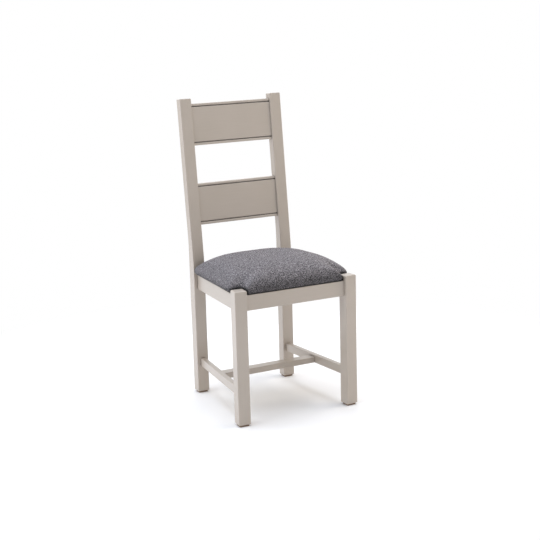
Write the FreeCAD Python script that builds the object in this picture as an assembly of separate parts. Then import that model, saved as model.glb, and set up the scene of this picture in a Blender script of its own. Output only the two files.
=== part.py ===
import FreeCAD, Part
import math
import os

from FreeCAD import Vector

# Painted dining chair with a raked, two-slat back and an upholstered seat pad.
# Millimetres, +Z up, -Y is the front, +X is on the right of somebody who looks at the front.
# The origin lies on the floor, under the middle of the chair's outer box.

# Overall frame
front_width = 461.0
rear_width = 395.0
frame_depth = 442.0
overall_height = 1060.0

# Front legs, turned to follow the side rails
front_leg_width = 43.0
front_leg_depth = 41.0
front_leg_top = 466.0

# Rear legs, which run on upwards as the posts of the back
rear_leg_width = 43.0
rear_leg_depth = 38.0
post_depth = 31.0
bend_height = 489.0
bend_run = 30.0
rake_angle = 6.0

# Softened edges of the legs
leg_arris = 2.2
front_leg_end_arris = 5.0
post_end_arris = 2.8
foot_arris = 1.2

# Seat rails
rail_thickness = 21.0
rail_height = 53.0
rail_arris = 1.8
front_rail_top = 448.0
seat_slope = 1.0
front_rail_setback = 6.5
rear_rail_setback = 15.0
side_rail_front_inset = 11.0
side_rail_rear_inset = 13.0

# Stretchers
side_stretcher_bottom = 101.3
side_stretcher_height = 29.5
side_stretcher_thickness = 18.0
side_stretcher_front_inset = 9.2
side_stretcher_rear_inset = 13.8
cross_stretcher_bottom = 102.4
cross_stretcher_height = 21.0
cross_stretcher_width = 37.0
cross_stretcher_setback = 235.0
stretcher_arris = 1.5

# Back slats, each with a bead and a groove along both long edges
slat_height = 147.0
slat_thickness = 20.0
lower_gap_share = 0.488
slat_recess = 5.5
post_above_slat = 18.5
slat_arris = 1.6
bead_height = 9.4
bead_round = 3.4
groove_width = 2.8
groove_depth = 5.5
field_round = 2.2

# Tenons and mortises
tenon_thickness = 10.0
rail_tenon_shoulder = 9.0
side_rail_tenon = 15.0
end_rail_tenon = 12.0
stretcher_tenon_thickness = 8.0
stretcher_tenon_shoulder = 6.0
stretcher_tenon = 14.0
cross_tenon_shoulder = 5.0
cross_tenon = 9.0
slat_tenon_shoulder = 14.0
slat_tenon = 16.0
mortise_play = 0.1
mortise_end_play = 1.0

# Corner blocks inside the seat frame
block_near = 28.0
block_far = 66.0
block_height = 32.0
block_drop = 6.0

# Seat pad: its heights are measured from the tops of the rails
pad_edge_setback = 2.0
pad_front_bulge = 3.0
pad_rear_bulge = 1.0
pad_side_front_bulge = 7.0
pad_side_rear_bulge = 12.0
pad_bulge_height = 12.0
pad_crown = 88.0
pad_crown_setback = 189.5
pad_side_power = 2.7
pad_end_power = 2.35
pad_corner_round = 12.0
pad_round_limit_share = 0.9
pad_levels = 12
board_thickness = 12.0
cover_thickness = 1.2
hem_width = 36.0
soft_gap = 0.3
cloth_thickness = 0.6
cloth_margin = 4.0

# Notches of the seat pad round the legs
leg_gap = 4.0
post_gap = 2.0
notch_round = 6.0
mouth_round = 9.0
flare_start = 22.0
leg_flare_height = 46.0
leg_flare_width = 44.0
post_flare_height = 34.0
post_flare_width = 16.0

# Wood screws
screw_radius = 2.0
screw_head_radius = 4.2
screw_head_height = 2.6
screw_play = 0.1
block_screw_inset = 16.0
block_screw_seat = 11.0
block_screw_bite = 13.0
seat_screw_sink = 8.0
seat_screw_bite = 9.0

# Glides and their nails
glide_height = 6.0
glide_inset = 4.5
glide_round = 3.0
nail_radius = 1.2
nail_head_radius = 3.4
nail_head_height = 1.2
nail_sink = 2.6
nail_bite = 16.0

# Overrun of all cuts, and the shortest straight that an outline keeps between two arcs
overrun = 5.0
shortest_straight = 0.1

# Places that follow from the sizes above
X_AXIS = Vector(1, 0, 0)
Y_AXIS = Vector(0, 1, 0)
Z_AXIS = Vector(0, 0, 1)
ORIGIN = Vector(0, 0, 0)
half_front = front_width / 2
half_rear = rear_width / 2
rake = math.radians(rake_angle)
slope = math.radians(seat_slope)
turn = math.atan2(half_front - half_rear, frame_depth - rear_leg_depth)
post_run = (overall_height - bend_height) / math.cos(rake)
front_overhang = front_leg_width * math.sin(turn) - leg_arris * (math.sin(turn) + math.cos(turn) - 1)
top_reach = post_run * math.sin(rake) + post_depth * math.cos(rake)
top_reach = top_reach - post_end_arris * (math.sin(rake) + math.cos(rake) - 1)
front_y = (front_overhang - (frame_depth - rear_leg_depth) - top_reach) / 2
rear_face_y = front_y + frame_depth
post_front_y = rear_face_y - rear_leg_depth
post_inner_x = -half_rear + rear_leg_width
front_rail_y = front_y + front_rail_setback
rear_rail_y = rear_face_y - rear_rail_setback - rail_thickness
leg_along = Vector(math.cos(turn), -math.sin(turn), 0)
leg_across = Vector(math.sin(turn), math.cos(turn), 0)
leg_corner = Vector(-half_front, front_y, 0)
post_corner = Vector(-half_rear, rear_face_y, 0)
up_rake = Vector(0, math.sin(rake), math.cos(rake))
back_rake = Vector(0, math.cos(rake), -math.sin(rake))
bend_point = Vector(0, post_front_y, bend_height)
cross_stretcher_y = front_y + cross_stretcher_setback
pad_crown_y = front_rail_y + pad_crown_setback
hem_top = soft_gap + cover_thickness
board_bottom = hem_top + soft_gap
board_top = board_bottom + board_thickness
board_inset = cover_thickness + soft_gap


# Helpers

def rounded_wire(corners, radii):
    """Closed outline of lines, with an arc of its own radius at each corner that has one."""
    count = len(corners)
    edges = []
    joins = []
    for index, corner in enumerate(corners):
        back = (corners[index - 1] - corner).normalize()
        ahead = (corners[(index + 1) % count] - corner).normalize()
        half_angle = back.getAngle(ahead) / 2
        radius = radii[index]
        reach = radius / math.tan(half_angle)
        middle_way = (back + ahead).normalize()
        middle = corner + middle_way * (radius / math.sin(half_angle) - radius)
        joins.append((corner + back * reach, middle, corner + ahead * reach, radius))
    for index, (start, middle, end, radius) in enumerate(joins):
        if radius > 0:
            edges.append(Part.Arc(start, middle, end).toShape())
        following = joins[(index + 1) % count][0]
        if (following - end).Length > shortest_straight:
            edges.append(Part.LineSegment(end, following).toShape())
    return Part.Wire(edges)


def plate(corners, radii, direction):
    return Part.Face(rounded_wire(corners, radii)).extrude(direction)


def prism(corners, direction):
    return plate(corners, [0] * len(corners), direction)


def mirrored(shape):
    return shape.mirror(ORIGIN, X_AXIS)


def round_long_edges(solid, radius, least):
    return solid.makeFillet(radius, [edge for edge in solid.Edges if edge.Length > least])


def inward_of(start, end):
    """Level direction at right angles to a plan line, on its right-hand side."""
    run = (end - start).normalize()
    return Vector(run.y, -run.x, 0)


def wall(start, end, near, width, bottom, top, reach=0.0):
    """Plumb bar along a plan line, from near to near + width inside it, longer by reach at both ends."""
    run = (end - start).normalize()
    inward = inward_of(start, end)
    first = start - run * reach + inward * near + Z_AXIS * bottom
    last = end + run * reach + inward * near + Z_AXIS * bottom
    return prism([first, last, last + inward * width, first + inward * width], Z_AXIS * (top - bottom))


# Plan lines that several pieces share, all on the left side of the chair

def side_line(front_inset, rear_inset):
    """Outer face of a side rail or stretcher, from the front leg to the rear leg."""
    front = leg_corner + leg_across * front_leg_depth + leg_along * front_inset
    rear = Vector(-half_rear + rear_inset, post_front_y, 0)
    return front, rear


def side_rail_x(y, depth_in):
    """X at depth y of a plane that lies depth_in inside the outer face of the side rail."""
    front, rear = side_line(side_rail_front_inset, side_rail_rear_inset)
    inward = inward_of(front, rear) * depth_in
    share = (y - front.y - inward.y) / (rear.y - front.y)
    return front.x + inward.x + (rear.x - front.x) * share


def leg_inner_x(y):
    """X of the inner side of the front leg at depth y."""
    corner = leg_corner + leg_along * front_leg_width
    return corner.x + (y - corner.y) * math.tan(turn)


def seat_height(y):
    """Height of the rails' tops at depth y."""
    return front_rail_top - (y - front_rail_y) * math.tan(slope)


def seat_layer(upper_drop, lower_drop):
    """Layer between two planes that lie below the rails' tops, with the slope of the seat."""
    ahead = Vector(-front_width, front_y - overrun, seat_height(front_y - overrun))
    behind = Vector(-front_width, rear_face_y + overrun, seat_height(rear_face_y + overrun))
    upper = Z_AXIS * -upper_drop
    lower = Z_AXIS * -lower_drop
    return prism([ahead + upper, behind + upper, behind + lower, ahead + lower], X_AXIS * (2 * front_width))


def tilted(shape):
    """Moves a flat shape, drawn above the floor at its own depth, on to the slope of the rails' tops."""
    shape.rotate(Vector(0, front_rail_y, 0), X_AXIS, -seat_slope)
    shape.translate(Z_AXIS * front_rail_top)
    return shape


# Blanks of the legs, with square edges

def front_leg_blank():
    corners = [
        leg_corner,
        leg_corner + leg_along * front_leg_width,
        leg_corner + leg_along * front_leg_width + leg_across * front_leg_depth,
        leg_corner + leg_across * front_leg_depth,
    ]
    blank = prism(corners, Z_AXIS * (front_leg_top - glide_height))
    blank.translate(Z_AXIS * glide_height)
    return blank


def post_blank():
    """Rear leg: plumb below the seat and raked above it, with a soft bend on both faces."""
    rear_start = bend_point + back_rake * post_depth
    rear_bend = rear_start + up_rake * ((rear_face_y - rear_start.y) / math.sin(rake))
    top_front = bend_point + up_rake * post_run
    foot_front = Vector(0, post_front_y, glide_height)
    foot_rear = Vector(0, rear_face_y, glide_height)
    corners = [foot_front, bend_point, top_front, top_front + back_rake * post_depth, rear_bend, foot_rear]
    bend_round = bend_run / math.tan(rake / 2)
    corners = [corner - X_AXIS * half_rear for corner in corners]
    return plate(corners, [0, bend_round, 0, 0, bend_round, 0], X_AXIS * rear_leg_width)


# Seat rails

def side_rail_ends():
    return side_line(side_rail_front_inset, side_rail_rear_inset)


def front_rail_ends():
    x = leg_inner_x(front_rail_y + rail_thickness / 2)
    return Vector(-x, front_rail_y, 0), Vector(x, front_rail_y, 0)


def rear_rail_ends():
    return Vector(-post_inner_x, rear_rail_y, 0), Vector(post_inner_x, rear_rail_y, 0)


def rail_tenons(ends, reach, play=0.0, end_play=0.0):
    """Core of a seat rail that runs into the leg at both ends."""
    near = (rail_thickness - tenon_thickness) / 2 - play
    core = wall(*ends, near, tenon_thickness + 2 * play, 0, overall_height, reach + end_play)
    return core.common(seat_layer(rail_tenon_shoulder - play, rail_height - rail_tenon_shoulder + play))


def seat_rail(ends, reach, legs):
    """Rail with rounded long edges, its shoulders cut by the legs and a tenon at both ends."""
    body = wall(*ends, 0, rail_thickness, 0, overall_height, reach).common(seat_layer(0, rail_height))
    body = round_long_edges(body, rail_arris, rail_thickness + rail_height).cut(legs)
    return body.fuse(rail_tenons(ends, reach)).removeSplitter()


def rail_mortises(ends, reach):
    return rail_tenons(ends, reach, mortise_play, mortise_end_play)


# Stretchers

def side_stretcher_ends():
    return side_line(side_stretcher_front_inset, side_stretcher_rear_inset)


def cross_stretcher_ends():
    y = cross_stretcher_y - cross_stretcher_width / 2
    front, rear = side_stretcher_ends()
    inward = inward_of(front, rear) * side_stretcher_thickness
    share = (cross_stretcher_y - front.y - inward.y) / (rear.y - front.y)
    x = front.x + inward.x + (rear.x - front.x) * share
    return Vector(-x, y, 0), Vector(x, y, 0)


def side_stretcher_tenons(play=0.0, end_play=0.0):
    near = (side_stretcher_thickness - stretcher_tenon_thickness) / 2 - play
    bottom = side_stretcher_bottom + stretcher_tenon_shoulder - play
    top = side_stretcher_bottom + side_stretcher_height - stretcher_tenon_shoulder + play
    width = stretcher_tenon_thickness + 2 * play
    return wall(*side_stretcher_ends(), near, width, bottom, top, stretcher_tenon + end_play)


def cross_stretcher_tenons(play=0.0, end_play=0.0):
    near = cross_tenon_shoulder - play
    bottom = cross_stretcher_bottom + cross_tenon_shoulder - play
    top = cross_stretcher_bottom + cross_stretcher_height - cross_tenon_shoulder + play
    width = cross_stretcher_width - 2 * near
    return wall(*cross_stretcher_ends(), near, width, bottom, top, cross_tenon + end_play)


def side_stretcher_bar():
    top = side_stretcher_bottom + side_stretcher_height
    return wall(*side_stretcher_ends(), 0, side_stretcher_thickness, side_stretcher_bottom, top, stretcher_tenon)


def side_stretcher(legs):
    bar = round_long_edges(side_stretcher_bar(), stretcher_arris, side_stretcher_height * 2).cut(legs)
    bar = bar.fuse(side_stretcher_tenons()).removeSplitter()
    return bar.cut(cross_stretcher_tenons(mortise_play, mortise_end_play))


def cross_stretcher():
    top = cross_stretcher_bottom + cross_stretcher_height
    bar = wall(*cross_stretcher_ends(), 0, cross_stretcher_width, cross_stretcher_bottom, top, cross_tenon)
    bar = round_long_edges(bar, stretcher_arris, cross_stretcher_width * 2)
    bar = bar.cut(side_stretcher_bar()).cut(mirrored(side_stretcher_bar()))
    return bar.fuse(cross_stretcher_tenons()).removeSplitter()


# Back slats: a profile across the rake, drawn as rises along it and depths behind the posts' faces

def rake_point(x, rise, depth):
    return bend_point + X_AXIS * x + up_rake * rise + back_rake * depth


def slat_profile(x, bottom):
    groove_end = bead_height + groove_width
    half = [
        (0, slat_thickness, slat_arris),
        (0, 0, bead_round),
        (bead_height, 0, bead_round),
        (bead_height, groove_depth, 0),
        (groove_end, groove_depth, 0),
        (groove_end, 0, field_round),
    ]
    whole = half + [(slat_height - rise, depth, radius) for rise, depth, radius in reversed(half)]
    corners = [rake_point(x, bottom + rise, slat_recess + depth) for rise, depth, radius in whole]
    return Part.Face(rounded_wire(corners, [radius for rise, depth, radius in whole]))


def slat_tenons(bottom, play=0.0, end_play=0.0):
    x = post_inner_x - slat_tenon - end_play
    low = bottom + slat_tenon_shoulder - play
    high = bottom + slat_height - slat_tenon_shoulder + play
    near = slat_recess + (slat_thickness - tenon_thickness) / 2 - play
    far = near + tenon_thickness + 2 * play
    corners = [rake_point(x, low, near), rake_point(x, high, near), rake_point(x, high, far), rake_point(x, low, far)]
    return prism(corners, X_AXIS * (-2 * x))


def slat(bottom):
    body = slat_profile(post_inner_x, bottom).extrude(X_AXIS * (-2 * post_inner_x))
    return body.fuse(slat_tenons(bottom)).removeSplitter()


# The two slats leave gaps below and above the lower one, which share what the posts have to spare
upper_slat_bottom = post_run - post_above_slat - slat_height
lower_slat_bottom = (upper_slat_bottom - slat_height) * lower_gap_share


# Fasteners, drawn along +Z from the underside of the head and then turned

def fastener(head_radius, head_height, radius, length, play=0.0, sink=0.0):
    """Countersunk head and plain shank. With play and sink it is the hole that takes them."""
    points = [
        Vector(0, 0, -head_height - sink),
        Vector(head_radius + play, 0, -head_height - sink),
        Vector(head_radius + play, 0, -head_height),
        Vector(radius + play, 0, 0),
        Vector(radius + play, 0, length + play),
        Vector(0, 0, length + play),
    ]
    if sink == 0:
        points.remove(points[2])
    return Part.Face(Part.makePolygon(points + [points[0]])).revolve(ORIGIN, Z_AXIS, 360)


def placed(shape, point, direction):
    shape.Placement = FreeCAD.Placement(point, FreeCAD.Rotation(Z_AXIS, direction))
    return shape


# Corner blocks and their screws

def block_corners(toward):
    """Plan outline of a block. Toward is 1 at the front rail and -1 at the rear rail."""
    rail_face = front_rail_y + rail_thickness if toward > 0 else rear_rail_y
    inner_x = side_rail_x(rail_face, rail_thickness)
    near_y = rail_face + toward * block_near
    far_y = rail_face + toward * block_far
    return [
        Vector(inner_x + block_near, rail_face, 0),
        Vector(inner_x + block_far, rail_face, 0),
        Vector(side_rail_x(far_y, rail_thickness), far_y, 0),
        Vector(side_rail_x(near_y, rail_thickness), near_y, 0),
    ]


def block_screw_places(toward):
    """Point on the rail's inner face and direction into the rail, for both screws of a block."""
    corners = block_corners(toward)
    end_point = corners[1] - X_AXIS * block_screw_inset
    along_side = (corners[3] - corners[2]).normalize()
    side_point = corners[2] + along_side * block_screw_inset
    front, rear = side_rail_ends()
    into_side = -inward_of(front, rear)
    into_end = Y_AXIS * -toward
    places = []
    for point, direction in [(end_point, into_end), (side_point, into_side)]:
        height = seat_height(point.y) - block_drop - block_height / 2
        places.append((point + Z_AXIS * height - direction * block_screw_seat, direction))
    return places


def block_screws(toward, play=0.0, sink=0.0):
    length = block_screw_seat + block_screw_bite
    screws = []
    for point, direction in block_screw_places(toward):
        screw = fastener(screw_head_radius, screw_head_height, screw_radius, length, play, sink)
        screws.append(placed(screw, point, direction))
    return screws


def seat_screw(toward, play=0.0, sink=0.0):
    """Screw that runs up through a corner block into the seat board."""
    corners = block_corners(toward)
    centre = (corners[0] + corners[1] + corners[2] + corners[3]) / len(corners)
    seat = seat_height(centre.y) - block_drop - block_height + seat_screw_sink
    length = seat_height(centre.y) + board_bottom + seat_screw_bite - seat
    screw = fastener(screw_head_radius, screw_head_height, screw_radius, length, play, sink)
    screw.translate(centre + Z_AXIS * seat)
    return screw


def corner_block(toward):
    block = prism(block_corners(toward), Z_AXIS * overall_height)
    block = block.common(seat_layer(block_drop, block_drop + block_height))
    for hole in block_screws(toward, screw_play, block_far):
        block = block.cut(hole)
    return block.cut(seat_screw(toward, screw_play, seat_screw_sink + overrun))


# Seat pad: level outlines that bulge out over the rails, then close towards the crown

def pad_outline(height, inset):
    """Outline of the pad at a height above the rails' tops, inset from its outer skin."""
    tuck_share = max(0, 1 - height / pad_bulge_height) ** 2
    rise_share = max(0, height - pad_bulge_height) / (pad_crown - inset - pad_bulge_height)
    side_share = (1 - rise_share ** pad_side_power) ** (1 / pad_side_power)
    end_share = (1 - rise_share ** pad_end_power) ** (1 / pad_end_power)
    mean_power = (pad_side_power + pad_end_power) / 2
    corner_share = (1 - rise_share ** (mean_power / 2)) ** (1 / mean_power)

    front_out = pad_front_bulge - (pad_front_bulge + pad_edge_setback) * tuck_share - inset
    rear_out = pad_rear_bulge - (pad_rear_bulge + pad_edge_setback) * tuck_share - inset
    front = pad_crown_y + (front_rail_y - front_out - pad_crown_y) * end_share
    rear = pad_crown_y + (rear_rail_y + rail_thickness + rear_out - pad_crown_y) * end_share
    closing = -side_rail_x(pad_crown_y, 0) * (1 - side_share)

    def half_width(y):
        along_share = (y - front_rail_y) / (rear_rail_y + rail_thickness - front_rail_y)
        bulge = pad_side_front_bulge + (pad_side_rear_bulge - pad_side_front_bulge) * along_share
        out = bulge - (bulge + pad_edge_setback) * tuck_share - inset
        return out - side_rail_x(y, 0) - closing

    round_share = ((side_share + end_share) / 2 - corner_share) / (1 - math.sqrt(1 / 2))
    corner_round = max(pad_corner_round, round_share * half_front)
    corner_round = min(corner_round, (rear - front) / 2 * pad_round_limit_share)
    corners = [
        Vector(-half_width(front), front, height),
        Vector(half_width(front), front, height),
        Vector(half_width(rear), rear, height),
        Vector(-half_width(rear), rear, height),
    ]
    return rounded_wire(corners, [corner_round] * 4)


def notch_corners(corner, along, across, width, depth, gap, mouth_along, mouth_across):
    """Plan outline of the space for a leg: its two walls and the mouths where they meet the pad's edges."""
    plan = [
        (-overrun, -overrun),
        (width + gap + mouth_round, -overrun),
        (width + gap + mouth_round, mouth_across),
        (width + gap, mouth_across),
        (width + gap, depth + gap),
        (mouth_along, depth + gap),
        (mouth_along, depth + gap + mouth_round),
        (-overrun, depth + gap + mouth_round),
    ]
    return [corner + along * u + across * v for u, v in plan]


def notch(gap_in, post, flared):
    """Space that a leg takes in the pad, grown by gap_in, with or without its flared upper part."""
    if post:
        gap = post_gap + gap_in
        flare = (post_flare_width, post_flare_height)
        bulge_x = half_rear + side_rail_x(post_front_y, 0) - pad_side_rear_bulge + gap_in
        bulge_y = rear_rail_setback - pad_rear_bulge + gap_in
        frame = (post_corner, X_AXIS, -Y_AXIS, rear_leg_width, rear_leg_depth)
    else:
        gap = leg_gap + gap_in
        flare = (leg_flare_width, leg_flare_height)
        bulge_x = side_rail_front_inset - pad_side_front_bulge + gap_in
        bulge_y = front_rail_setback - pad_front_bulge + gap_in
        frame = (leg_corner, leg_along, leg_across, front_leg_width, front_leg_depth)

    def section(extra, height):
        corners = notch_corners(*frame, gap + extra, bulge_x, bulge_y)
        radii = [0, 0, 0, mouth_round, notch_round + extra, mouth_round, 0, 0]
        wire = rounded_wire(corners, radii)
        wire.translate(Z_AXIS * height)
        return wire

    low = front_rail_top - rail_height
    if not flared:
        return Part.Face(section(0, low)).extrude(Z_AXIS * (rail_height + pad_crown))
    start = seat_height(frame[0].y) + flare_start - gap_in
    column = Part.Face(section(0, low)).extrude(Z_AXIS * (start - low))
    flared_top = Part.makeLoft([section(0, start), section(flare[0], start + flare[1])], True, True)
    return column.fuse(flared_top)


def notched(shape, gap_in, flared):
    for post in (False, True):
        tool = notch(gap_in, post, flared)
        shape = shape.cut(tool).cut(mirrored(tool))
    return shape


def pad_dome(bottom, inset):
    """Crowned body of the pad from a height above the rails' tops, inset from its outer skin."""
    top = pad_crown - inset
    levels = []
    for step in range(pad_levels):
        height = bottom + (top - bottom) * math.sin(math.pi / 2 * step / pad_levels)
        levels.append(pad_outline(height, inset))
    return notched(tilted(Part.makeLoft(levels, True, True)), inset, True)


def pad_slab(bottom, top, inset):
    """Flat layer with the outline of the pad's lower edge, inset from it."""
    slab = Part.Face(pad_outline(0, inset)).extrude(Z_AXIS * (top - bottom))
    slab.translate(Z_AXIS * bottom)
    return notched(tilted(slab), inset, False)


def cleared_of_screws(shape, play):
    """Cuts the holes for the four seat screws."""
    for toward in (1, -1):
        hole = seat_screw(toward, play)
        shape = shape.cut(hole).cut(mirrored(hole))
    return shape


def seat_board():
    return cleared_of_screws(pad_slab(board_bottom, board_top, board_inset), screw_play)


def seat_foam():
    """Foam that also wraps down over the edges of the board."""
    return pad_dome(board_bottom, board_inset).cut(pad_slab(0, board_top + soft_gap, cover_thickness))


def seat_cover():
    """Cloth skin, turned in under the board as a hem."""
    skin = pad_dome(soft_gap, 0).cut(pad_dome(hem_top, cover_thickness))
    return cleared_of_screws(skin.cut(pad_slab(-overrun, board_bottom, hem_width)), cloth_thickness)


def seat_bottom_cloth():
    """Dust cloth below the hem, inside the rails and clear of the legs."""
    front = front_rail_y + rail_thickness + cloth_margin
    rear = rear_rail_y - cloth_margin
    inside = rail_thickness + cloth_margin
    corners = [
        Vector(side_rail_x(front, inside), front, 0),
        Vector(-side_rail_x(front, inside), front, 0),
        Vector(-side_rail_x(rear, inside), rear, 0),
        Vector(side_rail_x(rear, inside), rear, 0),
    ]
    cloth = prism(corners, Z_AXIS * -cloth_thickness)
    return cleared_of_screws(notched(tilted(cloth), 0, False), cloth_thickness)


# Glides under the legs

def glide_frame(rear):
    """Corner, directions and size of a leg's foot."""
    if rear:
        return post_corner, X_AXIS, -Y_AXIS, rear_leg_width, rear_leg_depth
    return leg_corner, leg_along, leg_across, front_leg_width, front_leg_depth


def foot_nail(rear, play=0.0, sink=0.0):
    corner, along, across, width, depth = glide_frame(rear)
    centre = corner + along * (width / 2) + across * (depth / 2)
    length = glide_height + nail_bite - nail_sink
    nail = fastener(nail_head_radius, nail_head_height, nail_radius, length, play, sink)
    nail.translate(centre + Z_AXIS * nail_sink)
    return nail


def glide(rear):
    corner, along, across, width, depth = glide_frame(rear)
    start = corner + along * glide_inset + across * glide_inset
    wide = along * (width - 2 * glide_inset)
    deep = across * (depth - 2 * glide_inset)
    body = plate([start, start + wide, start + wide + deep, start + deep], [glide_round] * 4, Z_AXIS * glide_height)
    return body.cut(foot_nail(rear, screw_play, nail_sink))


# Legs, with their mortises and screw holes

def finished_leg(blank, top, least, end_arris):
    """Rounds a leg's long edges and its top, and breaks the edges of its foot."""
    leg = round_long_edges(blank, leg_arris, least)
    leg = leg.makeFillet(end_arris, [edge for edge in leg.Edges if edge.BoundBox.ZMin > top])
    foot = glide_height + foot_arris
    return leg.makeChamfer(foot_arris, [edge for edge in leg.Edges if edge.BoundBox.ZMax < foot])


def front_leg():
    least = front_leg_width + front_leg_depth
    leg = finished_leg(front_leg_blank(), front_leg_top - leg_arris, least, front_leg_end_arris)
    leg = leg.cut(rail_mortises(side_rail_ends(), side_rail_tenon))
    leg = leg.cut(rail_mortises(front_rail_ends(), end_rail_tenon))
    leg = leg.cut(side_stretcher_tenons(mortise_play, mortise_end_play))
    return leg.cut(foot_nail(False, screw_play))


def rear_leg():
    top = overall_height - post_depth * math.sin(rake) - leg_arris
    leg = finished_leg(post_blank(), top, rear_leg_width, post_end_arris)
    leg = leg.cut(rail_mortises(side_rail_ends(), side_rail_tenon))
    leg = leg.cut(rail_mortises(rear_rail_ends(), end_rail_tenon))
    leg = leg.cut(side_stretcher_tenons(mortise_play, mortise_end_play))
    for bottom in (upper_slat_bottom, lower_slat_bottom):
        leg = leg.cut(slat_tenons(bottom, mortise_play, mortise_end_play))
    return leg.cut(foot_nail(True, screw_play))


def bored_rail(rail, towards):
    """Rail with the pilot holes of the corner blocks' screws."""
    for toward in towards:
        for hole in block_screws(toward, screw_play):
            rail = rail.cut(hole).cut(mirrored(hole))
    return rail


# Every piece of the chair

def build_chair():
    left_legs = front_leg_blank().fuse(post_blank())
    all_legs = left_legs.fuse(mirrored(left_legs))
    side_rail = bored_rail(seat_rail(side_rail_ends(), side_rail_tenon, left_legs), (1, -1))
    pieces = {
        "front_leg_left": front_leg(),
        "rear_leg_left": rear_leg(),
        "side_seat_rail_left": side_rail,
        "side_stretcher_left": side_stretcher(left_legs),
        "corner_block_front_left": corner_block(1),
        "corner_block_rear_left": corner_block(-1),
    }
    for name in list(pieces):
        pieces[name.replace("left", "right")] = mirrored(pieces[name])
    pieces["front_seat_rail"] = bored_rail(seat_rail(front_rail_ends(), end_rail_tenon, all_legs), (1,))
    pieces["rear_seat_rail"] = bored_rail(seat_rail(rear_rail_ends(), end_rail_tenon, all_legs), (-1,))
    pieces["cross_stretcher"] = cross_stretcher()
    pieces["upper_back_slat"] = slat(upper_slat_bottom)
    pieces["lower_back_slat"] = slat(lower_slat_bottom)
    pieces["seat_board"] = seat_board()
    pieces["seat_foam"] = seat_foam()
    pieces["seat_cover"] = seat_cover()
    pieces["seat_bottom_cloth"] = seat_bottom_cloth()
    groups = {
        "corner_block_screws": block_screws(1) + block_screws(-1),
        "seat_screws": [seat_screw(1), seat_screw(-1)],
        "foot_glides": [glide(False), glide(True)],
        "glide_nails": [foot_nail(False), foot_nail(True)],
    }
    for name, solids in groups.items():
        pieces[name] = Part.makeCompound(solids + [mirrored(solid) for solid in solids])
    return pieces


os.makedirs("parts", exist_ok=True)
for name, shape in build_chair().items():
    shape.exportStep("parts/" + name + ".step")
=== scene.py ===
import math

import bpy
import numpy as np
from mathutils import Matrix, Vector


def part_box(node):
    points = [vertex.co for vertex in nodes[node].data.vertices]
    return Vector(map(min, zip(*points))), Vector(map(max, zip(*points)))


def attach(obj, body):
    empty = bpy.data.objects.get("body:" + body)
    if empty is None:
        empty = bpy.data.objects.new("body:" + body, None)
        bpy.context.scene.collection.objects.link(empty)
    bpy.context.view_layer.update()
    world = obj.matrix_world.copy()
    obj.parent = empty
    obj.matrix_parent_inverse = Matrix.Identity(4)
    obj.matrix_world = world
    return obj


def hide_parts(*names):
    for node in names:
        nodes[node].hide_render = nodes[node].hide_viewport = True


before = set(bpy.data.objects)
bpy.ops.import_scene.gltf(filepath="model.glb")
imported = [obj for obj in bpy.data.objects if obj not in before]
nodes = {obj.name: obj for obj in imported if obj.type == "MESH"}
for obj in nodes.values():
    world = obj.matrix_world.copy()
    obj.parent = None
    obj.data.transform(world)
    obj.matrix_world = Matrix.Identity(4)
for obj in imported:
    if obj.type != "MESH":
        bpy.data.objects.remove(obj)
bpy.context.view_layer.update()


# Camera
# It stands in front of the chair and to its left, above seat height and tipped
# down, as in the photograph, with the picture turned a little.

camera_place = (-1.8598, -3.7025, 1.4080)
camera_heading = math.radians(-26.991)
camera_tip = math.radians(77.164)
camera_roll = math.radians(-1.600)

lens = bpy.data.cameras.new("camera")
lens.sensor_width = 36
lens.lens = 80.67
camera = bpy.data.objects.new("camera", lens)
bpy.context.collection.objects.link(camera)
aim = Matrix.Rotation(camera_heading, 4, "Z") @ Matrix.Rotation(camera_tip, 4, "X")
camera.matrix_world = Matrix.Translation(camera_place) @ aim @ Matrix.Rotation(camera_roll, 4, "Z")
bpy.context.scene.camera = camera


# Legs
# Solid hardwood squared to section, with the arrises softened, sprayed with a
# satin greige lacquer. The rear pair runs on upwards, bent back, as the posts.

paint_colour = "#B6ABA0"
paint_shade = "#ACA194"
paint_ior = 1.5
paint_roughness = 0.33
least_roughness, most_roughness = paint_roughness - 0.05, paint_roughness + 0.07
topcoat_weight = 0.5
topcoat_roughness = 0.25
# The pores of beech are about 0.3 mm wide, too fine to show, so the streaks are drawn at 2.2 mm.
grain_width = 0.0022
grain_length = 0.09
grain_range = (0.35, 0.75)
grain_tone = 0.25
grain_relief = 0.6
spray_texture = 0.0016
paint_relief = 0.00018
paint_relief_strength = 0.35
tone_patch = 0.22
patch_range = (0.3, 0.7)
patch_tone = 0.55
# Painted shade: a dark brown laid into the paint's colour in creases, grooves and joints, where another
# surface lies within reach.
crease_painted_shade = "#28190F"
crease_shade_reach = 0.008
crease_open, crease_closed = 0.66, 0.30


def linear(hex_colour):
    """Linear RGBA values of an sRGB hex colour."""
    parts = [int(hex_colour[i:i + 2], 16) / 255 for i in (1, 3, 5)]
    return [p / 12.92 if p <= 0.04045 else ((p + 0.055) / 1.055) ** 2.4 for p in parts] + [1.0]


def add(tree, kind, links=None, **settings):
    """Adds a node. Links gives each input socket a value or another node's output."""
    node = tree.nodes.new(kind)
    for name, value in settings.items():
        setattr(node, name, value)
    for name, value in (links or {}).items():
        if isinstance(value, bpy.types.NodeSocket):
            tree.links.new(value, node.inputs[name])
        else:
            node.inputs[name].default_value = value
    return node


def new_material(name):
    """Empty material with its node tree and its output node."""
    material = bpy.data.materials.new(name)
    material.use_nodes = True
    material.node_tree.nodes.clear()
    return material, material.node_tree


def dress(piece, material):
    """Puts one material in all the slots of a piece."""
    if not piece.material_slots:
        piece.data.materials.append(material)
    for slot in piece.material_slots:
        slot.material = material


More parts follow.
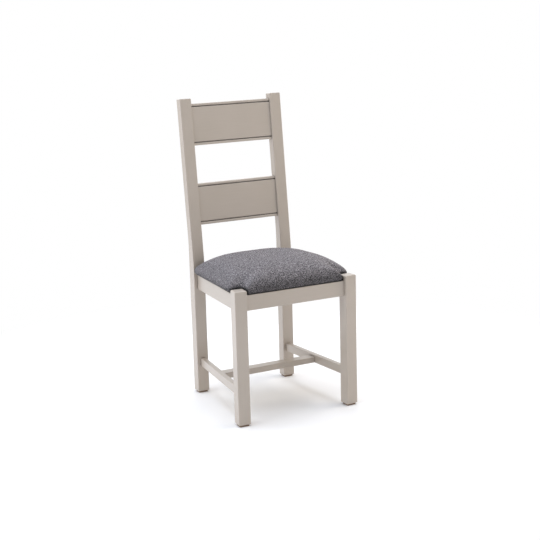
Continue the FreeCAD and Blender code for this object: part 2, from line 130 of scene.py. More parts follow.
def painted_wood(name, along):
    """Satin lacquer sprayed on beech, whose grain runs along one axis.

    It gives the eye a nearly even colour with the grain just telegraphing through and a broad
    soft shine. Painted shade darkens it to brown in creases, grooves and joints.
    """
    material, tree = new_material(name)
    place = add(tree, "ShaderNodeTexCoord").outputs["Object"]
    stretch = [1 / grain_width] * 3
    stretch["XYZ".index(along)] = 1 / grain_length
    streaks = add(tree, "ShaderNodeMapping", {"Vector": place, "Scale": stretch})
    grain = add(tree, "ShaderNodeTexNoise", {"Vector": streaks.outputs[0], "Scale": 1.0, "Detail": 3.0})
    peel = add(tree, "ShaderNodeTexNoise", {"Vector": place, "Scale": 1 / spray_texture, "Detail": 2.0})
    patches = add(tree, "ShaderNodeTexNoise", {"Vector": place, "Scale": 1 / tone_patch, "Detail": 2.0})
    tone = add(tree, "ShaderNodeMapRange", {
        "Value": patches.outputs["Fac"], "From Min": patch_range[0], "From Max": patch_range[1],
        "To Min": 0.0, "To Max": patch_tone})
    streak = add(tree, "ShaderNodeMapRange", {
        "Value": grain.outputs["Fac"], "From Min": grain_range[0], "From Max": grain_range[1],
        "To Min": 0.0, "To Max": grain_tone})
    mixed = add(tree, "ShaderNodeMath", {0: tone.outputs[0], 1: streak.outputs[0]}, operation="ADD")
    colour = add(tree, "ShaderNodeMix", {
        0: mixed.outputs[0], 6: linear(paint_colour), 7: linear(paint_shade)}, data_type="RGBA")
    # Painted shade: the colour goes to dark brown where another surface lies within reach, in joints, grooves
    # and inner corners.
    open_share = add(tree, "ShaderNodeAmbientOcclusion", {"Distance": crease_shade_reach}, samples=8)
    closed = add(tree, "ShaderNodeMapRange", {
        "Value": open_share.outputs["AO"], "From Min": crease_open, "From Max": crease_closed,
        "To Min": 0.0, "To Max": 1.0})
    crease_shaded = add(tree, "ShaderNodeMix", {0: closed.outputs[0], 6: colour.outputs[2], 7: linear(crease_painted_shade)},
                  data_type="RGBA")
    rough = add(tree, "ShaderNodeMapRange", {
        "Value": grain.outputs["Fac"], "To Min": least_roughness, "To Max": most_roughness})
    relief = add(tree, "ShaderNodeMath", {0: grain.outputs["Fac"], 1: grain_relief, 2: peel.outputs["Fac"]},
                 operation="MULTIPLY_ADD")
    bump = add(tree, "ShaderNodeBump", {
        "Height": relief.outputs[0], "Strength": paint_relief_strength, "Distance": paint_relief})
    surface = add(tree, "ShaderNodeBsdfPrincipled", {
        "Base Color": crease_shaded.outputs[2], "Roughness": rough.outputs[0], "IOR": paint_ior,
        "Coat Weight": topcoat_weight, "Coat Roughness": topcoat_roughness, "Normal": bump.outputs[0]})
    add(tree, "ShaderNodeOutputMaterial", {"Surface": surface.outputs[0]})
    return material


upright_paint = painted_wood("satin_lacquer_on_beech_upright", "Z")
for name in ("front_leg_left", "front_leg_right", "rear_leg_left", "rear_leg_right"):
    dress(nodes[name], upright_paint)


# Seat rails and stretchers
# Thinner members of the same painted hardwood, tenoned into the legs. Their
# grain runs from leg to leg.

crosswise_paint = painted_wood("satin_lacquer_on_beech_crosswise", "X")
for name in ("front_seat_rail", "rear_seat_rail", "cross_stretcher"):
    dress(nodes[name], crosswise_paint)

lengthwise_paint = painted_wood("satin_lacquer_on_beech_front_to_back", "Y")
for name in ("side_seat_rail_left", "side_seat_rail_right", "side_stretcher_left", "side_stretcher_right"):
    dress(nodes[name], lengthwise_paint)


# Back slats
# Two wide boards between the posts, each with a bead and a groove run along
# both long edges before the paint went on.

for name in ("upper_back_slat", "lower_back_slat"):
    dress(nodes[name], crosswise_paint)


# Corner blocks
# Offcuts of bare beech, sawn to fit inside the corners of the seat frame, and
# glued and screwed there.

beech_light = "#C9A478"
beech_dark = "#A87F55"
beech_grain_width = 0.004
beech_grain_length = 0.05
sawn_range = (0.3, 0.7)
sawn_roughness = 0.75
sawn_relief = 0.0003
sawn_relief_strength = 0.5


def bare_wood(name, light, dark, width, length):
    """Unfinished sawn wood. It gives the eye warm streaks along the grain, dull all over."""
    material, tree = new_material(name)
    place = add(tree, "ShaderNodeTexCoord").outputs["Object"]
    streaks = add(tree, "ShaderNodeMapping", {"Vector": place, "Scale": (1 / length, 1 / width, 1 / width)})
    grain = add(tree, "ShaderNodeTexNoise", {"Vector": streaks.outputs[0], "Scale": 1.0, "Detail": 5.0})
    share = add(tree, "ShaderNodeMapRange", {
        "Value": grain.outputs["Fac"], "From Min": sawn_range[0], "From Max": sawn_range[1]})
    colour = add(tree, "ShaderNodeMix", {0: share.outputs[0], 6: linear(light), 7: linear(dark)},
                 data_type="RGBA")
    bump = add(tree, "ShaderNodeBump", {
        "Height": grain.outputs["Fac"], "Strength": sawn_relief_strength, "Distance": sawn_relief})
    surface = add(tree, "ShaderNodeBsdfPrincipled", {
        "Base Color": colour.outputs[2], "Roughness": sawn_roughness, "Normal": bump.outputs[0]})
    add(tree, "ShaderNodeOutputMaterial", {"Surface": surface.outputs[0]})
    return material


bare_beech = bare_wood("sawn_beech", beech_light, beech_dark, beech_grain_width, beech_grain_length)
for name in ("corner_block_front_left", "corner_block_front_right",
             "corner_block_rear_left", "corner_block_rear_right"):
    dress(nodes[name], bare_beech)


# Screws and nails
# Zinc-plated steel. Countersunk wood screws with a cross recess hold the corner
# blocks and the seat board, and a plain nail holds each glide.

zinc_colour = "#C6C9CC"
zinc_roughness = 0.34
least_zinc_roughness, most_zinc_roughness = zinc_roughness - 0.08, zinc_roughness + 0.12
zinc_patch = 0.004
screw_radius = 0.0020
screw_head_radius = 0.0042
screw_head_height = 0.0026
screw_point = 0.006
screw_point_taper = 0.15
screw_sides = 24
recess_length = 0.0044
recess_width = 0.0009
recess_depth = 0.0018
merge_distance = 0.00002

# Zinc plating gives the eye a cool bright metal whose shine is clouded in small patches.
zinc, tree = new_material("zinc_plated_steel")
place = add(tree, "ShaderNodeTexCoord").outputs["Object"]
bloom = add(tree, "ShaderNodeTexNoise", {"Vector": place, "Scale": 1 / zinc_patch, "Detail": 3.0})
rough = add(tree, "ShaderNodeMapRange", {
    "Value": bloom.outputs["Fac"], "To Min": least_zinc_roughness, "To Max": most_zinc_roughness})
surface = add(tree, "ShaderNodeBsdfPrincipled", {
    "Base Color": linear(zinc_colour), "Metallic": 1.0, "Roughness": rough.outputs[0]})
add(tree, "ShaderNodeOutputMaterial", {"Surface": surface.outputs[0]})
dress(nodes["glide_nails"], zinc)


def only(piece):
    """Selects one piece and nothing else, and makes it the active one."""
    bpy.ops.object.select_all(action="DESELECT")
    piece.select_set(True)
    bpy.context.view_layer.objects.active = piece


def copied(*names):
    """One new piece out of copies of CAD nodes, with the loose triangles merged."""
    copies = []
    for name in names:
        copy = nodes[name].copy()
        copy.data = nodes[name].data.copy()
        bpy.context.collection.objects.link(copy)
        copies.append(copy)
    only(copies[0])
    for copy in copies:
        copy.select_set(True)
    if len(copies) > 1:
        bpy.ops.object.join()
    bpy.ops.object.mode_set(mode="EDIT")
    bpy.ops.mesh.select_all(action="SELECT")
    bpy.ops.mesh.remove_doubles(threshold=merge_distance)
    bpy.ops.mesh.normals_make_consistent(inside=False)
    bpy.ops.object.mode_set(mode="OBJECT")
    return bpy.context.object


def joined(pieces, name):
    """One piece out of several, under its own name."""
    only(pieces[0])
    for piece in pieces:
        piece.select_set(True)
    bpy.ops.object.join()
    bpy.context.object.name = name
    return bpy.context.object


def screw_places(name):
    """For each screw of a CAD group: the middle of its head, the way it points, and its length."""
    group = copied(name)
    bpy.ops.object.mode_set(mode="EDIT")
    bpy.ops.mesh.select_all(action="SELECT")
    bpy.ops.mesh.separate(type="LOOSE")
    bpy.ops.object.mode_set(mode="OBJECT")
    places = []
    for screw in list(bpy.context.selected_objects):
        points = np.array([vertex.co for vertex in screw.data.vertices])
        middle = points.mean(axis=0)
        along = np.linalg.svd(points - middle)[2][0]
        reach = (points - middle) @ along
        width = np.linalg.norm(points - middle - np.outer(reach, along), axis=1)
        if reach[width.argmax()] > 0:
            along, reach = -along, -reach
        places.append((Vector(middle + along * reach.min()), Vector(along), float(np.ptp(reach))))
        bpy.data.objects.remove(screw)
    return places


def wood_screw(length):
    """Screw that stands on its head at the origin and points up, with its recess cut from below."""
    bpy.ops.object.select_all(action="DESELECT")
    bpy.ops.mesh.primitive_cone_add(
        vertices=screw_sides, radius1=screw_head_radius, radius2=screw_radius, depth=screw_head_height,
        location=(0, 0, screw_head_height / 2))
    screw = bpy.context.object
    bpy.ops.object.transform_apply()
    bpy.ops.object.mode_set(mode="EDIT")
    bpy.ops.mesh.select_mode(type="FACE")
    bpy.ops.mesh.select_all(action="DESELECT")
    bpy.ops.object.mode_set(mode="OBJECT")
    for face in screw.data.polygons:
        face.select = face.normal.z > 0.9
    bpy.ops.object.mode_set(mode="EDIT")
    shank = length - screw_head_height - screw_point
    bpy.ops.mesh.extrude_region_move(TRANSFORM_OT_translate={"value": (0, 0, shank)})
    bpy.ops.mesh.extrude_region_move(TRANSFORM_OT_translate={"value": (0, 0, screw_point)})
    bpy.ops.transform.resize(value=(screw_point_taper, screw_point_taper, 1))
    bpy.ops.object.mode_set(mode="OBJECT")
    for arm in ((recess_length, recess_width), (recess_width, recess_length)):
        bpy.ops.mesh.primitive_cube_add(size=1, location=(0, 0, 0), scale=(*arm, recess_depth * 2))
        cutter = bpy.context.object
        bpy.ops.object.transform_apply()
        only(screw)
        recess = screw.modifiers.new("recess", "BOOLEAN")
        recess.operation = "DIFFERENCE"
        recess.object = cutter
        bpy.ops.object.modifier_apply(modifier=recess.name)
        bpy.data.objects.remove(cutter)
    bpy.ops.object.shade_smooth_by_angle(angle=math.radians(30))
    return screw


def set_at(model, point, along):
    """Copy of a small model with its own mesh, moved and turned so that its +Z runs along a direction."""
    copy = model.copy()
    copy.data = model.data.copy()
    bpy.context.collection.objects.link(copy)
    turn = Vector((0, 0, 1)).rotation_difference(along).to_matrix().to_4x4()
    copy.data.transform(Matrix.Translation(point) @ turn)
    return copy


# The seat pad's section needs the places of the seat screws too.
seat_screw_places = screw_places("seat_screws")
for group, name in (("corner_block_screws", "block_wood_screws"), ("seat_screws", "seat_wood_screws")):
    places = screw_places(group)
    model = wood_screw(places[0][2])
    screws = joined([set_at(model, point, along) for point, along, length in places], name)
    bpy.data.objects.remove(model)
    dress(screws, zinc)
    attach(screws, "root")
    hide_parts(group)


# Seat board
# A board of birch plywood under the foam, cut round the legs and posts. Screws
# from below hold it to the corner blocks.

veneer_light = "#C7AA80"
veneer_dark = "#B08F62"
veneer_grain_width = 0.006
veneer_grain_length = 0.08

plywood = bare_wood("birch_plywood", veneer_light, veneer_dark, veneer_grain_width, veneer_grain_length)
dress(nodes["seat_board"], plywood)


# Seat pad
# A foam cushion on the board, covered in one piece of grey melange weave that
# is pulled tight over the crown and stapled under the edge. Its corners are
# cut round the legs, where the cloth tucks in.

# Its form, and how it sits on the rails and round the board.
pad_voxel = 0.005
pad_clearance = 0.0003
resting_height = 0.003
board_clearance = 0.0002
seat_slope = math.radians(1.0)
bore_reach = screw_radius * 1.5
# How far the cover swells, how far its sides roll out, and how near the legs that fades.
swell_frames = 20
swell_pressure = 4
crown_swell = 0.0008
side_swell = 0.005
held_height = 0.010
leg_clear = 0.004
leg_near = 0.030
rear_leg_depth = 0.045
roll_out = 0.018
roll_height = 0.015
roll_reach = 0.018
roll_squareness = 6
roll_evening = 20
settle_rounds = 14
least_settling = 0.2
# The look of the cloth.
cloth_grey = "#534F51"
cloth_light = "#ABA6A9"
cloth_dark = "#0C0B0C"
cloth_roughness = 0.92
cloth_ior = 1.45
# The real thread and its flecks are about 1 mm, too fine to show, so they are drawn at 2.4 and 2.8 mm.
thread_spacing = 0.0024
thread_share = 0.16
yarn_relief = 0.0020
yarn_relief_strength = 0.8
fleck_size = 0.0028
fleck_roughness = 0.7
fleck_middle, light_fleck, dark_fleck = 0.50, 0.66, 0.34
# Painted light and shade: the colour is scaled up on the level crown and down on the upright sides, by how
# each part faces up.
side_facing, crown_facing = 0.25, 0.85
side_painted_shade, crown_painted_light = 0.54, 1.20
# Painted shade, near black, laid into the colour where the cloth comes close to the legs and rails.
cloth_painted_shade = "#0B0A0B"
cloth_shade_reach = 0.025
cloth_shade_open, cloth_shade_closed = 0.92, 0.64
bloom_tint = "#D8D5DB"
bloom_weight = 0.1
bloom_roughness = 0.45
crown_drop = 0.040

pad = copied("seat_cover", "seat_foam", "seat_board")
pad.name = "seat_pad"
remesh = pad.modifiers.new("even_mesh", "REMESH")
remesh.mode = "VOXEL"
remesh.voxel_size = pad_voxel
bpy.ops.object.modifier_apply(modifier=remesh.name)

rail_low, rail_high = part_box("front_seat_rail")


def above_rails(point):
    """Height of a point above the sloping plane of the rails' tops."""
    return point.z - rail_high.z + (point.y - rail_low.y) * math.tan(seat_slope)


# The underside is made flat where it rests on the rails.
for vertex in pad.data.vertices:
    if vertex.normal.z < -0.5 and above_rails(vertex.co) < resting_height:
        vertex.co.z -= above_rails(vertex.co) - pad_clearance

# Pressure swells the cover, most on the sides and less and less towards the legs.
held = pad.vertex_groups.new(name="held")
for vertex in pad.data.vertices:
    if above_rails(vertex.co) < held_height:
        held.add([vertex.index], 1.0, "REPLACE")
before = [vertex.co.copy() for vertex in pad.data.vertices]
cloth = pad.modifiers.new("swell", "CLOTH")
cloth.settings.quality = 6
cloth.settings.mass = 0.3
cloth.settings.tension_stiffness = 15
cloth.settings.compression_stiffness = 15
cloth.settings.shear_stiffness = 8
cloth.settings.bending_stiffness = 2
cloth.settings.use_pressure = True
cloth.settings.uniform_pressure_force = swell_pressure
cloth.settings.effector_weights.gravity = 0
cloth.settings.vertex_group_mass = "held"
cloth.collision_settings.use_collision = False
cloth.point_cache.frame_start = 1
cloth.point_cache.frame_end = swell_frames
for step in range(1, swell_frames + 1):
    bpy.context.scene.frame_set(step)
legs = [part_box(name) for name in ("front_leg_left", "front_leg_right")]
# The box of a rear leg takes in its raked post, so only the plumb part counts here.
for name in ("rear_leg_left", "rear_leg_right"):
    low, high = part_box(name)
    legs.append((low, Vector((high.x, low.y + rear_leg_depth, high.z))))
swollen = pad.evaluated_get(bpy.context.evaluated_depsgraph_get()).to_mesh()
after = [vertex.co.copy() for vertex in swollen.vertices]
pad.modifiers.remove(cloth)
for vertex, old, new in zip(pad.data.vertices, before, after):
    shift = new - old
    flatness = max(0.0, vertex.normal.z) ** 2
    from_leg = min(
        math.hypot(max(low.x - old.x, 0, old.x - high.x), max(low.y - old.y, 0, old.y - high.y))
        for low, high in legs)
    cap = side_swell + (crown_swell - side_swell) * flatness
    cap *= min(1.0, max(0.0, (from_leg - leg_clear) / (leg_near - leg_clear)))
    if shift.length > cap:
        shift = shift.normalized() * cap
    vertex.co = old + shift
bpy.context.scene.frame_set(1)

# The sides roll out over their rails between the legs, most of all low down.
# How far a point faces sideways is evened out over its neighbours first.
side_low, side_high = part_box("side_seat_rail_left")
sideways = np.array([vertex.normal.x * abs(vertex.normal.x) for vertex in pad.data.vertices])
near, far = np.array([edge.vertices for edge in pad.data.edges]).T
neighbours = np.bincount(near, minlength=len(sideways)) + np.bincount(far, minlength=len(sideways))
for step in range(roll_evening):
    around = np.bincount(near, sideways[far], len(sideways))
    around += np.bincount(far, sideways[near], len(sideways))
    sideways = (sideways + around / neighbours) / 2
for vertex, share in zip(pad.data.vertices, sideways):
    height = above_rails(vertex.co)
    ahead = (vertex.co.y * 2 - side_low.y - side_high.y) / (side_high.y - side_low.y)
    roll = roll_out * max(0.0, 1 - ahead ** roll_squareness)
    roll *= math.exp(-((height - roll_height) / roll_reach) ** 2)
    roll *= min(1.0, max(0.0, height / roll_height))
    vertex.co.x += roll * share

# The cover settles smooth, less so at its lower edge, where the rails hold it.
loose = pad.vertex_groups.new(name="loose")
for vertex in pad.data.vertices:
    share = min(1.0, max(least_settling, above_rails(vertex.co) / held_height - 1))
    loose.add([vertex.index], share, "REPLACE")
smooth = pad.modifiers.new("settle", "SMOOTH")
smooth.factor = 0.5
smooth.iterations = settle_rounds
smooth.vertex_group = "loose"
bpy.ops.object.modifier_apply(modifier=smooth.name)
finer = pad.modifiers.new("finer", "SUBSURF")
finer.levels = 1
finer.render_levels = 1
bpy.ops.object.modifier_apply(modifier=finer.name)
bpy.ops.object.shade_smooth()

# The board's space stays open inside the foam, with the bores of its screws closed.
cavity = copied("seat_board")
bpy.ops.object.mode_set(mode="EDIT")
bpy.ops.mesh.select_mode(type="FACE")
bpy.ops.mesh.select_all(action="DESELECT")
bpy.ops.object.mode_set(mode="OBJECT")
for face in cavity.data.polygons:
    face.select = any(
        math.hypot(face.center.x - point.x, face.center.y - point.y) < bore_reach
        and abs(face.normal.z) < 0.5
        for point, along, length in seat_screw_places)
bpy.ops.object.mode_set(mode="EDIT")
bpy.ops.mesh.delete(type="FACE")
bpy.ops.mesh.select_all(action="SELECT")
bpy.ops.mesh.fill_holes(sides=0)
bpy.ops.mesh.select_all(action="SELECT")
bpy.ops.mesh.normals_make_consistent(inside=False)
bpy.ops.transform.shrink_fatten(value=board_clearance)
bpy.ops.mesh.flip_normals()
bpy.ops.object.mode_set(mode="OBJECT")
pad = joined([pad, cavity], "seat_pad")

# Where each point lay on the flat cloth: past the shoulder it goes on outwards by the drop.
crown_top = max(above_rails(vertex.co) for vertex in pad.data.vertices)
flat_place = pad.data.attributes.new("flat_place", "FLOAT_VECTOR", "POINT")
for vertex, place in zip(pad.data.vertices, flat_place.data):
    outward = Vector((vertex.normal.x, vertex.normal.y, 0)).normalized()
    place.vector = vertex.co + outward * max(0.0, crown_top - above_rails(vertex.co) - crown_drop)

# A melange weave of dark, mid and pale grey yarn gives the eye a fine salt-and-pepper fleck.
# Painted light makes it paler on the crown and painted shade darker on the sides, and painted shade
# turns it dark, down to black, where it comes close to the legs and rails.
wool, tree = new_material("grey_melange_basket_weave")
place = add(tree, "ShaderNodeTexCoord").outputs["Object"]
fleck = add(tree, "ShaderNodeTexNoise", {
    "Vector": place, "Scale": 1 / fleck_size, "Detail": 2.0, "Roughness": fleck_roughness})
cut = add(tree, "ShaderNodeAttribute", attribute_name="flat_place")
threads = add(tree, "ShaderNodeMapping", {
    "Vector": cut.outputs["Vector"], "Scale": [math.pi / thread_spacing] * 3})
axes = add(tree, "ShaderNodeSeparateXYZ", {"Vector": threads.outputs[0]})
warp = add(tree, "ShaderNodeMath", {0: axes.outputs["X"]}, operation="SINE")
weft = add(tree, "ShaderNodeMath", {0: axes.outputs["Y"]}, operation="SINE")
over = add(tree, "ShaderNodeMath", {0: warp.outputs[0], 1: weft.outputs[0]}, operation="MULTIPLY")
yarn = add(tree, "ShaderNodeMath", {0: over.outputs[0], 1: thread_share, 2: fleck.outputs["Fac"]},
           operation="MULTIPLY_ADD")
light_share = add(tree, "ShaderNodeMapRange", {
    "Value": yarn.outputs[0], "From Min": fleck_middle, "From Max": light_fleck,
    "To Min": 0.0, "To Max": 1.0})
dark_share = add(tree, "ShaderNodeMapRange", {
    "Value": yarn.outputs[0], "From Min": fleck_middle, "From Max": dark_fleck,
    "To Min": 0.0, "To Max": 1.0})
lit = add(tree, "ShaderNodeMix", {0: light_share.outputs[0], 6: linear(cloth_grey), 7: linear(cloth_light)},
          data_type="RGBA")
base = add(tree, "ShaderNodeMix", {0: dark_share.outputs[0], 6: lit.outputs[2], 7: linear(cloth_dark)},
           data_type="RGBA")
# Painted light and shade: the colour is made paler where the cloth faces up and darker where it faces
# sideways.
tilt = add(tree, "ShaderNodeSeparateXYZ", {"Vector": add(tree, "ShaderNodeNewGeometry").outputs["Normal"]})
tone = add(tree, "ShaderNodeMapRange", {
    "Value": tilt.outputs["Z"], "From Min": side_facing, "From Max": crown_facing,
    "To Min": side_painted_shade, "To Max": crown_painted_light})
tilt_shaded = add(tree, "ShaderNodeVectorMath", {0: base.outputs[2], "Scale": tone.outputs[0]}, operation="SCALE")
bump = add(tree, "ShaderNodeBump", {
    "Height": yarn.outputs[0], "Strength": yarn_relief_strength, "Distance": yarn_relief})
# Painted shade: the colour goes to near black where the cloth comes close to the legs and rails.
open_share = add(tree, "ShaderNodeAmbientOcclusion", {"Distance": cloth_shade_reach}, samples=8)
closed = add(tree, "ShaderNodeMapRange", {
    "Value": open_share.outputs["AO"], "From Min": cloth_shade_open, "From Max": cloth_shade_closed,
    "To Min": 0.0, "To Max": 1.0})
cloth_shaded = add(tree, "ShaderNodeMix", {0: closed.outputs[0], 6: tilt_shaded.outputs[0], 7: linear(cloth_painted_shade)},
             data_type="RGBA")
surface = add(tree, "ShaderNodeBsdfPrincipled", {
    "Base Color": cloth_shaded.outputs[2], "Roughness": cloth_roughness, "IOR": cloth_ior,
    "Sheen Weight": bloom_weight, "Sheen Roughness": bloom_roughness, "Sheen Tint": linear(bloom_tint),
    "Normal": bump.outputs[0]})
add(tree, "ShaderNodeOutputMaterial", {"Surface": surface.outputs[0]})
pad.data.materials.clear()
dress(pad, wool)
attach(pad, "root")
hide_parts("seat_cover", "seat_foam")


# Bottom cloth
# A sheet of black spun-bonded dust cloth, stapled all round to the underside
# of the seat board. It hangs a little slack in the middle, puckered at the edge.

cloth_cells = 60
cloth_sheet = 0.0004
cloth_slack = 0.0045
slack_reach = 0.11
cloth_corner_cut = 0.021
cloth_rear_gap = 0.0012
pucker_depth = 0.0009
pucker_reach = 0.018
staple_pitch = 0.052
staple_inset = 0.008
staple_crown = 0.0105
staple_width = 0.0012
staple_height = 0.0006
staple_leg = 0.0016
staples_to_left = 3
flat_margin = 1.5 * staple_inset
dust_dark = "#19191B"
dust_light = "#2E2E31"
dust_roughness = 0.85
# The fibres are about 0.03 mm thick, too fine to show, so their mottle is drawn at 1.5 mm.
fibre_size = 0.0015
fibre_range = (0.35, 0.65)
fibre_relief = 0.0003
fibre_relief_strength = 0.6

# Polypropylene fibres bonded into a sheet give the eye a dull near-black felt with a fine mottle.
dust, tree = new_material("black_spunbonded_polypropylene")
place = add(tree, "ShaderNodeTexCoord").outputs["Object"]
fibres = add(tree, "ShaderNodeTexNoise", {
    "Vector": place, "Scale": 1 / fibre_size, "Detail": 6.0, "Roughness": 0.8})
shade = add(tree, "ShaderNodeMapRange", {
    "Value": fibres.outputs["Fac"], "From Min": fibre_range[0], "From Max": fibre_range[1]})
colour = add(tree, "ShaderNodeMix", {0: shade.outputs[0], 6: linear(dust_dark), 7: linear(dust_light)},
             data_type="RGBA")
bump = add(tree, "ShaderNodeBump", {
    "Height": fibres.outputs["Fac"], "Strength": fibre_relief_strength, "Distance": fibre_relief})
surface = add(tree, "ShaderNodeBsdfPrincipled", {
    "Base Color": colour.outputs[2], "Roughness": dust_roughness, "Normal": bump.outputs[0]})
add(tree, "ShaderNodeOutputMaterial", {"Surface": surface.outputs[0]})

cloth_low, cloth_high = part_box("seat_bottom_cloth")
front_half = cloth_high.x
front_edge = cloth_low.y
rear_edge = cloth_high.y - cloth_rear_gap
rear_half = max(vertex.co.x for vertex in nodes["seat_bottom_cloth"].data.vertices
                if vertex.co.y > cloth_high.y - pucker_reach)
cloth_depth = rear_edge - front_edge


def half_at(y):
    """Half the cloth's width at depth y."""
    return front_half + (rear_half - front_half) * (y - front_edge) / cloth_depth


def under_pad(y, drop):
    """Height of a level that hangs below the plane of the rails' tops."""
    return rail_high.z - (y - rail_low.y) * math.tan(seat_slope) - drop


# The sheet is narrower behind, flat where it is stapled, puckered between the staples
# and slack further in.
bpy.ops.object.select_all(action="DESELECT")
bpy.ops.mesh.primitive_grid_add(
    x_subdivisions=cloth_cells, y_subdivisions=cloth_cells, size=cloth_depth,
    location=(0, front_edge + cloth_depth / 2, 0))
bottom_cloth = bpy.context.object
bottom_cloth.name = "bottom_dust_cloth"
bpy.ops.object.transform_apply()
for vertex in bottom_cloth.data.vertices:
    across = vertex.co.x / (cloth_depth / 2)
    ahead = (vertex.co.y - front_edge) / cloth_depth * 2 - 1
    vertex.co.x = across * half_at(vertex.co.y)
    from_side = half_at(vertex.co.y) * (1 - abs(across))
    from_end = cloth_depth / 2 * (1 - abs(ahead))
    run = vertex.co.y if from_side < from_end else vertex.co.x
    pucker = (1 - math.cos(2 * math.pi * run / staple_pitch)) / 2
    pucker *= math.exp(-min(from_side, from_end) / pucker_reach)
    inward = [min(1.0, max(0.0, (gap - flat_margin) / slack_reach)) for gap in (from_side, from_end)]
    slack = cloth_slack * math.sin(math.pi / 2 * inward[0]) ** 2 * math.sin(math.pi / 2 * inward[1]) ** 2
    vertex.co.z = under_pad(vertex.co.y, cloth_sheet / 2 + slack + pucker_depth * pucker)
# Its two front corners are cut off beside the legs.
bpy.ops.object.mode_set(mode="EDIT")
for side in (-1, 1):
    bpy.ops.mesh.select_all(action="SELECT")
    bpy.ops.mesh.bisect(
        plane_co=(side * (front_half - cloth_corner_cut), front_edge, 0), plane_no=(side, -1, 0),
        clear_outer=True)
bpy.ops.mesh.select_all(action="SELECT")
bpy.ops.mesh.normals_make_consistent(inside=False)
bpy.ops.object.mode_set(mode="OBJECT")
skin = bottom_cloth.modifiers.new("skin", "SOLIDIFY")
skin.thickness = cloth_sheet
skin.offset = 0
bpy.ops.object.modifier_apply(modifier=skin.name)
bpy.ops.object.shade_smooth()
dress(bottom_cloth, dust)

# One staple, lying crown down with its two legs up, is modelled and then copied.
bpy.ops.object.select_all(action="DESELECT")
bpy.ops.mesh.primitive_cube_add(size=1, scale=(staple_crown, staple_width, staple_height))
staple = bpy.context.object
bpy.ops.object.transform_apply()
bpy.ops.object.mode_set(mode="EDIT")
for side in (-1, 1):
    bpy.ops.mesh.select_all(action="SELECT")
    bpy.ops.mesh.bisect(plane_co=(side * (staple_crown / 2 - staple_height), 0, 0), plane_no=(side, 0, 0))
bpy.ops.mesh.select_mode(type="FACE")
bpy.ops.mesh.select_all(action="DESELECT")
bpy.ops.object.mode_set(mode="OBJECT")
for face in staple.data.polygons:
    face.select = face.normal.z > 0.9 and abs(face.center.x) > staple_crown / 2 - staple_height
bpy.ops.object.mode_set(mode="EDIT")
bpy.ops.mesh.extrude_region_move(TRANSFORM_OT_translate={"value": (0, 0, staple_leg)})
bpy.ops.object.mode_set(mode="OBJECT")
softened = staple.modifiers.new("softened", "BEVEL")
softened.width = staple_height / 4
softened.segments = 2
bpy.ops.object.modifier_apply(modifier=softened.name)

staples = []
level = cloth_sheet + staple_height / 2
for count in range(-staples_to_left, staples_to_left + 1):
    x = count * staple_pitch
    for y in (front_edge + staple_inset, rear_edge - staple_inset):
        if abs(x) < half_at(y) - staple_crown:
            staples.append(set_at(staple, Vector((x, y, under_pad(y, level))), Vector((0, 0, 1))))
quarter = Matrix.Rotation(math.pi / 2, 4, "Z")
staple.data.transform(quarter)
for count in range(-staples_to_left, staples_to_left):
    y = count * staple_pitch
    for side in (-1, 1):
        point = Vector((side * (half_at(y) - staple_inset), y, under_pad(y, level)))
        staples.append(set_at(staple, point, Vector((0, 0, 1))))
bpy.data.objects.remove(staple)
staples = joined(staples, "dust_cloth_staples")
dress(staples, zinc)
for piece, finish in ((bottom_cloth, "dust_cloth"), (staples, "zinc_screw_steel")):
    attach(piece, "root")
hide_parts("seat_bottom_cloth")


# Glides
# Small pads of brown moulded plastic, one under the foot of each leg, held by
# a nail.

glide_dark = "#6E5642"
glide_light = "#7C644E"
glide_roughness = 0.5
# The spark texture of the mould is about 0.2 mm, too fine to show, so it is drawn at 1.2 mm.
mould_texture = 0.0012
mould_range = (0.3, 0.7)
mould_relief = 0.0002
mould_relief_strength = 0.3

# Moulded polyethylene gives the eye an even waxy brown with a soft, slightly broken shine.
brown_plastic, tree = new_material("brown_moulded_polyethylene")
place = add(tree, "ShaderNodeTexCoord").outputs["Object"]
texture = add(tree, "ShaderNodeTexNoise", {"Vector": place, "Scale": 1 / mould_texture, "Detail": 2.0})
shade = add(tree, "ShaderNodeMapRange", {
    "Value": texture.outputs["Fac"], "From Min": mould_range[0], "From Max": mould_range[1]})
colour = add(tree, "ShaderNodeMix", {0: shade.outputs[0], 6: linear(glide_dark), 7: linear(glide_light)},
             data_type="RGBA")
bump = add(tree, "ShaderNodeBump", {
    "Height": texture.outputs["Fac"], "Strength": mould_relief_strength, "Distance": mould_relief})
surface = add(tree, "ShaderNodeBsdfPrincipled", {
    "Base Color": colour.outputs[2], "Roughness": glide_roughness, "Normal": bump.outputs[0]})
add(tree, "ShaderNodeOutputMaterial", {"Surface": surface.outputs[0]})
dress(nodes["foot_glides"], brown_plastic)


# Floor and light
# A white studio floor that keeps the chair's soft shadow, lit by four soft
# boxes, overhead, left, right and rear, inside an even white surround.

floor_size = 12.0
floor_drop = 0.0003
shadow_zone = 0.95
white_zone = 1.5
floor_white = "#FAFAFA"
surround_strength = 0.37
# For each soft box: where it stands, the point that it faces, its width, its watts and its colour.
soft_boxes = {
    "overhead_soft_box": ((0.0, 0.0, 6.0), (0.0, 0.0, 0.0), 5.0, 235, "#E6EFFF"),
    "left_soft_box": ((-3.2, 0.4, 1.9), (0.0, 0.0, 0.55), 4.0, 88, "#F6F9FF"),
    "right_soft_box": ((3.2, -0.8, 1.6), (0.0, 0.0, 0.5), 3.0, 76, "#FFF1DF"),
    "rear_soft_box": ((0.5, 3.0, 3.5), (0.0, 0.0, 0.5), 3.0, 45, "#FFFFFF"),
}

bpy.ops.object.select_all(action="DESELECT")
bpy.ops.mesh.primitive_plane_add(size=floor_size, location=(0, 0, -floor_drop))
floor = bpy.context.object
floor.name = "studio_floor"

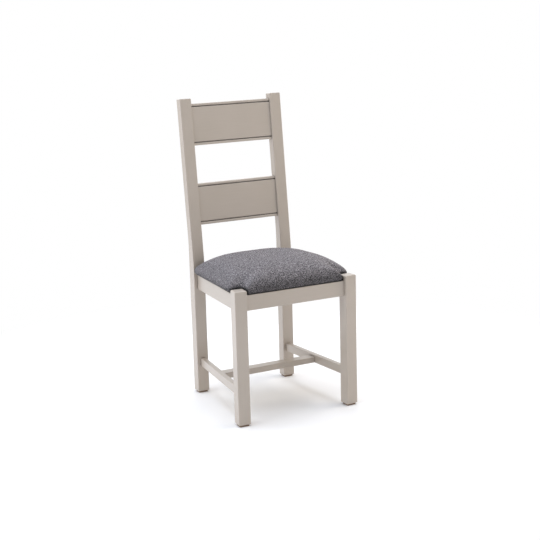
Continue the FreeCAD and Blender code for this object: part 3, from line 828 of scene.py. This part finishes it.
# Studio paper gives the eye a matt white that takes the shadow round the chair, and further out
# the camera sees it as pure white.
seamless, tree = new_material("white_studio_paper")
place = add(tree, "ShaderNodeTexCoord").outputs["Object"]
far = add(tree, "ShaderNodeVectorMath", {0: place}, operation="LENGTH")
beyond = add(tree, "ShaderNodeMapRange", {
    "Value": far.outputs["Value"], "From Min": shadow_zone, "From Max": white_zone},
    interpolation_type="SMOOTHSTEP")
path = add(tree, "ShaderNodeLightPath")
seen = add(tree, "ShaderNodeMath", {0: beyond.outputs[0], 1: path.outputs["Is Camera Ray"]},
           operation="MULTIPLY")
paper = add(tree, "ShaderNodeBsdfDiffuse", {"Color": linear(floor_white)})
white = add(tree, "ShaderNodeEmission", {"Color": (1, 1, 1, 1), "Strength": 1.0})
both = add(tree, "ShaderNodeMixShader", {0: seen.outputs[0], 1: paper.outputs[0], 2: white.outputs[0]})
add(tree, "ShaderNodeOutputMaterial", {"Surface": both.outputs[0]})
dress(floor, seamless)

for name, (place, facing, width, watts, colour) in soft_boxes.items():
    lamp = bpy.data.lights.new(name, "AREA")
    lamp.shape = "SQUARE"
    lamp.size = width
    lamp.energy = watts
    lamp.color = linear(colour)[:3]
    holder = bpy.data.objects.new(name, lamp)
    bpy.context.collection.objects.link(holder)
    holder.location = place
    holder.rotation_euler = (Vector(facing) - Vector(place)).to_track_quat("-Z", "Y").to_euler()
    holder.visible_camera = False

# The lacquer would mirror the right box as a glare on the slats when they are seen from the side.
bpy.data.objects["right_soft_box"].visible_glossy = False

# The camera, gloss and glass see a pure white surround, and its own light on the chair is weaker.
world = bpy.data.worlds.new("surround")
bpy.context.scene.world = world
world.use_nodes = True
world.node_tree.nodes.clear()
tree = world.node_tree
path = add(tree, "ShaderNodeLightPath")
mirrored = add(tree, "ShaderNodeMath", {0: path.outputs["Is Camera Ray"], 1: path.outputs["Is Glossy Ray"]},
               operation="ADD")
seen = add(tree, "ShaderNodeMath", {0: mirrored.outputs[0], 1: path.outputs["Is Transmission Ray"]},
           operation="ADD", use_clamp=True)
surround = add(tree, "ShaderNodeBackground", {"Color": (1, 1, 1, 1), "Strength": surround_strength})
backdrop = add(tree, "ShaderNodeBackground", {"Color": (1, 1, 1, 1), "Strength": 1.0})
both = add(tree, "ShaderNodeMixShader", {0: seen.outputs[0], 1: surround.outputs[0], 2: backdrop.outputs[0]})
add(tree, "ShaderNodeOutputWorld", {"Surface": both.outputs[0]})

bpy.context.scene.view_settings.view_transform = "Standard"
